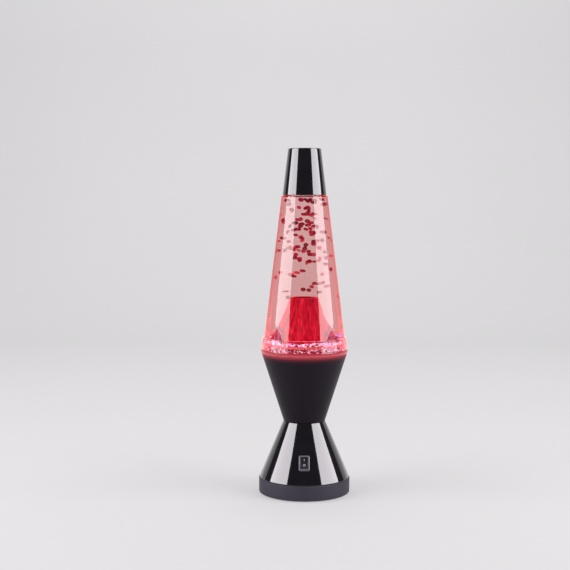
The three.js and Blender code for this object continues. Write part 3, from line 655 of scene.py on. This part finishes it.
place(volcanoPiece, "bottle", "red_volcano_plastic", "volcano")

drawing = random.Random(11)
sequin = {"radius": 2.0, "hole": 0.26, "thickness": 0.14, "dish": 0.18, "sides": 14}
flake = {"radius": 1.15, "thickness": 0.06, "sides": 6}


def scatter(name, outline, sides, spots):  # spots are (place in mm, direction it faces, size)
    master = turnPiece("one_" + name, outline, sides)
    copies = []
    for spot, facing, size in spots:
        copy = bpy.data.objects.new(name, master.data.copy())
        bpy.context.collection.objects.link(copy)
        turn = facing.to_track_quat("Z", "Y").to_matrix().to_4x4()
        copy.data.transform(Matrix.Translation(spot * mm) @ turn @ Matrix.Scale(size, 4))
        copies.append(copy)
    bpy.data.objects.remove(master)
    return joined(name, copies)


clearance = {"wall": 0.5, "ground": 3, "topZ": 291.5, "crater": 2.5, "flank": 3.2, "peak": 1, "peakTip": 2}


def insideLimit(z):
    return bottleRadius(z) - bottle["wall"] - sequin["radius"] - clearance["wall"]


def free(spot, taken, apart):
    reach = math.hypot(spot.x, spot.y)
    if reach > insideLimit(spot.z) or not groundTop + clearance["ground"] < spot.z < clearance["topZ"]:
        return False
    if spot.z < volcanoHigh + clearance["crater"] and reach < flankRadius(spot.z) + clearance["flank"]:
        return False
    besidePeak = fromPeak(spot) < peak["radius"] + clearance["peak"]
    if besidePeak and spot.z < volcanoLow + peak["height"] + clearance["peakTip"]:
        return False
    return all((spot - other).length > apart for other in taken)


def sinking():  # a disc drifts down broadside on, rocking from front to back more than sideways
    turn = math.radians(drawing.gauss(0, 24)) + math.pi * drawing.randint(0, 1)
    rise = math.radians(drawing.uniform(8, 58))
    return Vector((math.sin(turn) * math.cos(rise), -math.cos(turn) * math.cos(rise), math.sin(rise)))


plume = {"count": 64, "low": 226, "high": 289, "spread": 9, "apart": 3.4}
drift = {"count": 62, "low": 155, "high": 291, "apart": 5}
chains = [  # height, distance from the axis, azimuth in degrees from the front, count and step
    {"z": 289.5, "out": 9, "azimuth": -22, "count": 4, "step": (4.0, 0.4, -0.2)},
    {"z": 281, "out": 11, "azimuth": 5, "count": 4, "step": (2.4, 0.6, -3.3)},
    {"z": 240.5, "out": 14, "azimuth": -40, "count": 4, "step": (4.1, 0.3, -0.5)},
    {"z": 239.5, "out": 27, "azimuth": -75, "count": 2, "step": (3.9, -0.6, 0.3)},
    {"z": 249, "out": 15, "azimuth": 30, "count": 3, "step": (3.9, 0.8, 0.5)},
    {"z": 229.5, "out": 12, "azimuth": 20, "count": 2, "step": (3.9, 0.4, -0.4)},
    {"z": 201, "out": 8, "azimuth": 25, "count": 3, "step": (2.2, -0.8, 3.3)},
    {"z": 262, "out": 17, "azimuth": 160, "count": 4, "step": (-3.8, 0.5, 1.0)},
    {"z": 214, "out": 20, "azimuth": 205, "count": 3, "step": (3.6, 0.8, 1.8)}]
floating = []
for chain in chains:
    angle = math.radians(chain["azimuth"])
    start = Vector((math.sin(angle) * chain["out"], -math.cos(angle) * chain["out"], chain["z"]))
    for i in range(chain["count"]):
        floating.append(start + Vector(chain["step"]) * i)
while len(floating) < plume["count"]:
    spot = Vector((drawing.gauss(0, plume["spread"]), drawing.gauss(0, plume["spread"]),
                   drawing.uniform(plume["low"], plume["high"])))
    if free(spot, floating, plume["apart"]):
        floating.append(spot)
while len(floating) < plume["count"] + drift["count"]:
    z = drift["low"] + (drift["high"] - drift["low"]) * drawing.random() ** 0.8
    reach, angle = insideLimit(z) * math.sqrt(drawing.random()), drawing.uniform(0, 2 * math.pi)
    spot = Vector((reach * math.cos(angle), reach * math.sin(angle), z))
    if free(spot, floating, drift["apart"]):
        floating.append(spot)

sequinOutline = [[sequin["hole"], 0], [sequin["radius"], sequin["dish"]],
                 [sequin["radius"], sequin["dish"] + sequin["thickness"]],
                 [sequin["hole"], sequin["thickness"]]]
crimson = Finish("sequin_crimson", Metallic=0.25, Roughness=0.3, IOR=1.2, Emission_Strength=1.0)
patch = crimson.spread(crimson.noise(7, 1), 0.35, 0.65)
sequinColour = crimson.ramp(patch, (0.0, (0.13, 0.002, 0.014)), (0.5, (0.22, 0.004, 0.022)),
                            (1.0, (0.36, 0.012, 0.04)))
# painted glow of the lamp's light on the sequins
crimson.lit(sequinColour, 0.35)
floatingSequins = scatter("floating_sequins", sequinOutline, sequin["sides"],
                          [(spot, sinking(), 1.0) for spot in floating])
wear(floatingSequins, crimson)
place(floatingSequins, "bottle", "red_volcano_plastic")


heap = {"depth": 4.6, "sides": 120, "near": 26.2, "far": 34.2, "wallReach": 37.4}


def heapHeight(reach, angle):  # the loose bed is deepest against the wall
    t = min(1.0, max(0.0, (reach - heap["near"]) / (heap["wallReach"] - heap["near"])))
    waves = noise.fractal(Vector((math.cos(angle) * 2.2, math.sin(angle) * 2.2, 3)), 1.0, 2.0, 3)
    return heap["depth"] * (0.35 + 0.65 * t) * (0.62 + 0.7 * waves)


def lying(spot, tilt):  # nearly flat, and not quite all of one size
    up = Vector((drawing.gauss(0, tilt), drawing.gauss(0, tilt), 1)).normalized()
    return spot, up, drawing.uniform(0.8, 1.1)


def underPlate(count, near, far, tilt):  # what has sunk below the plate, outside the pump's wall
    spots = []
    for _ in range(count):
        reach, angle = drawing.uniform(near, far), drawing.uniform(0, 2 * math.pi)
        spot = Vector((reach * math.cos(angle), reach * math.sin(angle),
                       drawing.uniform(dish["floor"] + 0.9, groundLow - 0.5)))
        spots.append(lying(spot, tilt))
    return spots


def settled(count, low, high, tilt, deep=0.55):  # on the bed between the cone's foot and the wall
    spots = []
    while len(spots) < count:
        reach, angle = drawing.uniform(low, high), drawing.uniform(0, 2 * math.pi)
        spot = Vector((reach * math.cos(angle), reach * math.sin(angle),
                       groundTop + 0.5 + max(0.1, heapHeight(reach, angle)) * drawing.uniform(deep, 1.0)))
        if fromPeak(spot) < peak["radius"] * 0.8:
            continue
        spots.append(lying(spot, tilt))
    return spots


bedSteps = 8
bedRadii = [heap["near"] + (heap["far"] - heap["near"]) * i / bedSteps for i in range(bedSteps + 1)]
bed = turnPiece("settled_bed", [[heap["near"], groundTop + 0.15], [heap["far"], groundTop + 0.15]]
                + [[reach, groundTop + 0.5] for reach in reversed(bedRadii)], heap["sides"])
for vertex in bed.data.vertices:
    x, y, z = vertex.co / mm
    if z > groundTop + 0.3:
        vertex.co.z += 0.7 * max(0.0, heapHeight(math.hypot(x, y), math.atan2(y, x))) * mm
bedSequins = settled(110, low=28.4, high=34.4, tilt=0.35)
bedSequins += settled(60, low=34.2, high=36.2, tilt=0.5, deep=0.1)
bedSequins += underPlate(60, near=31, far=34.6, tilt=0.25)
settledSequins = scatter("settled_sequins", sequinOutline, sequin["sides"], bedSequins)
wear(settledSequins, crimson)
place(settledSequins, "bottle", "red_volcano_plastic")

glitter = Finish("glitter", Metallic=0.5, Roughness=0.18, Emission_Strength=1.0)
hue = glitter.make("ShaderNodeTexVoronoi", {}, {"Vector": glitter.place(), "Scale": 500.0}, 1)
tone = glitter.make("ShaderNodeSeparateColor", {}, {0: hue})
flakeColour = glitter.ramp(tone, (0.0, (0.95, 0.93, 1.0)), (0.3, (0.42, 0.4, 0.95)),
                           (0.48, (0.8, 0.42, 0.75)), (0.7, (1.0, 0.8, 0.86)), (1.0, (0.92, 0.97, 1.0)))
# painted sparkle: much of the flakes' colour is emitted, standing in for their glints
glitter.lit(flakeColour, 0.6)
flakeOutline = [[0, 0], [flake["radius"], 0], [flake["radius"], flake["thickness"]],
                [0, flake["thickness"]]]
bedFlakes = settled(420, low=27.2, high=36, tilt=0.6)
bedFlakes += settled(520, low=34.8, high=37.3, tilt=0.9, deep=0.0)
bedFlakes += underPlate(360, near=33, far=37.2, tilt=0.7)
flakes = scatter("settled_glitter", flakeOutline, flake["sides"], bedFlakes)
wear(flakes, glitter)
place(flakes, "bottle", "red_volcano_plastic")

scree = Finish("ground_red", Roughness=0.45, IOR=1.13, Emission_Strength=1.0)
grit = scree.noise(1.4, 4, 0.6)
screeColour = scree.ramp(scree.spread(grit, 0.35, 0.65), (0.0, (0.3, 0.02, 0.035)),
                         (1.0, (0.75, 0.24, 0.28)))
# painted glow of the lamp's light on the ground
scree.lit(screeColour, 0.25)
scree.bump(grit, 0.3)
wear(frame["nodes"]["ground_plate"], scree)
wear(bed, scree)
place(bed, "bottle", "red_volcano_plastic")
print("volcano and sequins made:", len(floating), "float")


# switch

rocker = {"centreZ": 36.0, "pivot": -1.5, "tilt": 10.0, "width": 7.0, "half": 5.1, "deep": 5.4, "height": 3.0,
          "rise": 0.9, "taper": 0.45, "saddle": 1.6, "edge": 0.3}
bezel = {"width": 10.5, "length": 15.0, "seat": 0.3, "thickness": 1.5, "corner": 1.3, "chamfer": 0.75,
         "drop": 0.9, "frame": 1.45, "well": 5.6, "edge": 0.12}
shellSlope = (shellHigh.x - waist["radius"]) / (shellHigh.z - seam)
switchLean = math.pi / 2 - math.atan(shellSlope)
switchReach = waist["radius"] + (shellHigh.z - rocker["centreZ"]) * shellSlope
switchPlace = (Matrix.Translation(Vector((0, -switchReach, rocker["centreZ"])) * mm)
               @ Matrix.Rotation(switchLean, 4, "X"))


def selectFaces(piece, test):
    bpy.ops.object.mode_set(mode="OBJECT")
    for part in (*piece.data.vertices, *piece.data.edges):
        part.select = False
    for face in piece.data.polygons:
        face.select = test(face)
    bpy.ops.object.mode_set(mode="EDIT")
    bpy.ops.mesh.select_mode(type="FACE")


def selectEdges(piece, test):
    bpy.ops.object.mode_set(mode="EDIT")
    bpy.ops.mesh.select_mode(type="EDGE")
    bpy.ops.mesh.select_all(action="DESELECT")
    bpy.ops.object.mode_set(mode="OBJECT")
    for edge in piece.data.edges:
        edge.select = test(*(piece.data.vertices[v].co / mm for v in edge.vertices))
    bpy.ops.object.mode_set(mode="EDIT")


def box(name, size, middle):
    deselectAll()
    bpy.ops.mesh.primitive_cube_add(size=1, location=Vector(middle) * mm)
    bpy.context.object.scale = Vector(size) * mm
    return newPiece(name)


housing = box("switch_housing_visual", (bezel["width"], bezel["length"], bezel["thickness"]),
              (0, 0, bezel["seat"] + bezel["thickness"] / 2))
selectEdges(housing, lambda a, b: abs(a.z - b.z) > 1)
bpy.ops.mesh.bevel(offset=bezel["corner"] * mm, segments=6, affect="EDGES")
front = bezel["seat"] + bezel["thickness"]
selectFaces(housing, lambda face: face.normal.z > 0.9)
bpy.ops.mesh.inset(thickness=0.001 * mm)
bpy.ops.mesh.inset(thickness=bezel["chamfer"] * mm, depth=0)
selectFaces(housing, lambda face: face.normal.z > 0.9 and abs(face.center.x) < 0.1 * mm
            and abs(face.center.y) < 0.1 * mm)
bpy.ops.mesh.inset(thickness=(bezel["frame"] - bezel["chamfer"]) * mm, depth=0)
bpy.ops.mesh.extrude_region_move(TRANSFORM_OT_translate={"value": (0, 0, -bezel["well"] * mm)})
bpy.ops.object.mode_set(mode="OBJECT")
for vertex in housing.data.vertices:
    x, y, z = vertex.co / mm
    if z > front - 0.01 and (abs(x) > bezel["width"] / 2 - 0.3 or abs(y) > bezel["length"] / 2 - 0.3):
        vertex.co.z -= bezel["drop"] * mm
applyModifier(housing, "BEVEL", width=bezel["edge"] * mm, segments=2, limit_method="ANGLE",
              angle_limit=math.radians(25))
housing.data.transform(switchPlace)
smooth(housing, 30)
bezelGrey = moulded("bezel_grey", (0.095, 0.088, 0.105), 0.34, 0.2, 0.008)
wear(housing, bezelGrey)
place(housing, "base", "satin_black_plastic", "switch_housing")

tip = box("switch_rocker_visual", (rocker["width"], 2 * rocker["half"], rocker["deep"]),
          (0, 0, rocker["height"] - rocker["deep"] / 2))
bpy.ops.object.mode_set(mode="EDIT")
bpy.ops.mesh.select_all(action="SELECT")
bpy.ops.mesh.bisect(plane_co=(0, 0, 0), plane_no=(0, 1, 0))
selectEdges(tip, lambda a, b: abs(a.y) > 5 and abs(b.y) > 5 and min(a.z, b.z) > 0 and abs(a.x - b.x) > 1)
bpy.ops.transform.translate(value=(0, 0, rocker["rise"] * mm))
selectEdges(tip, lambda a, b: abs(a.y) > 5 and abs(b.y) > 5 and max(a.z, b.z) < 0 and abs(a.x - b.x) > 1)
bpy.ops.transform.resize(value=(1, rocker["taper"], 1), center_override=(0, 0, 0))
selectEdges(tip, lambda a, b: abs(a.y) < 0.1 and abs(b.y) < 0.1 and min(a.z, b.z) > 1)
bpy.ops.mesh.bevel(offset=rocker["saddle"] * mm, segments=5, affect="EDGES")
bpy.ops.object.mode_set(mode="OBJECT")
applyModifier(tip, "BEVEL", width=rocker["edge"] * mm, segments=3, limit_method="ANGLE",
              angle_limit=math.radians(40))
smooth(tip, 35)
rockerFace = rocker["height"] + rocker["rise"] * 0.55
faceTilt = math.atan(rocker["rise"] / rocker["half"])
mark = {"aside": 2.75, "length": 2.0, "width": 0.55, "ringInner": 0.7, "ringOuter": 1.12, "half": 0.06}
bar = box("mark", (mark["width"], mark["length"], 2 * mark["half"]), (0, 0, 0))
bar.data.transform(Matrix.Translation(Vector((0, mark["aside"], rockerFace)) * mm)
                   @ Matrix.Rotation(faceTilt, 4, "X"))
ringMark = turnPiece("mark", [[mark["ringInner"], -mark["half"]], [mark["ringOuter"], -mark["half"]],
                              [mark["ringOuter"], mark["half"]], [mark["ringInner"], mark["half"]]], 36)
ringMark.data.transform(Matrix.Translation(Vector((0, -mark["aside"], rockerFace)) * mm)
                        @ Matrix.Rotation(-faceTilt, 4, "X"))
marks = joined("switch_marks", [bar, ringMark])
tilted = (switchPlace @ Matrix.Translation(Vector((0, 0, rocker["pivot"])) * mm)
          @ Matrix.Rotation(math.radians(-rocker["tilt"]), 4, "X"))
rockerBlack = moulded("rocker_black", (0.012, 0.0105, 0.014), 0.2, 0.3, 0.004)
markPaint = moulded("mark_paint", (0.3, 0.29, 0.33), 0.5, 0.15, 0.01)
wear(tip, rockerBlack)
wear(marks, markPaint)
for piece in (tip, marks):
    piece.data.transform(tilted)
    place(piece, "rocker", "satin_black_plastic", *(["switch_rocker"] if piece is tip else []))
print("switch made")
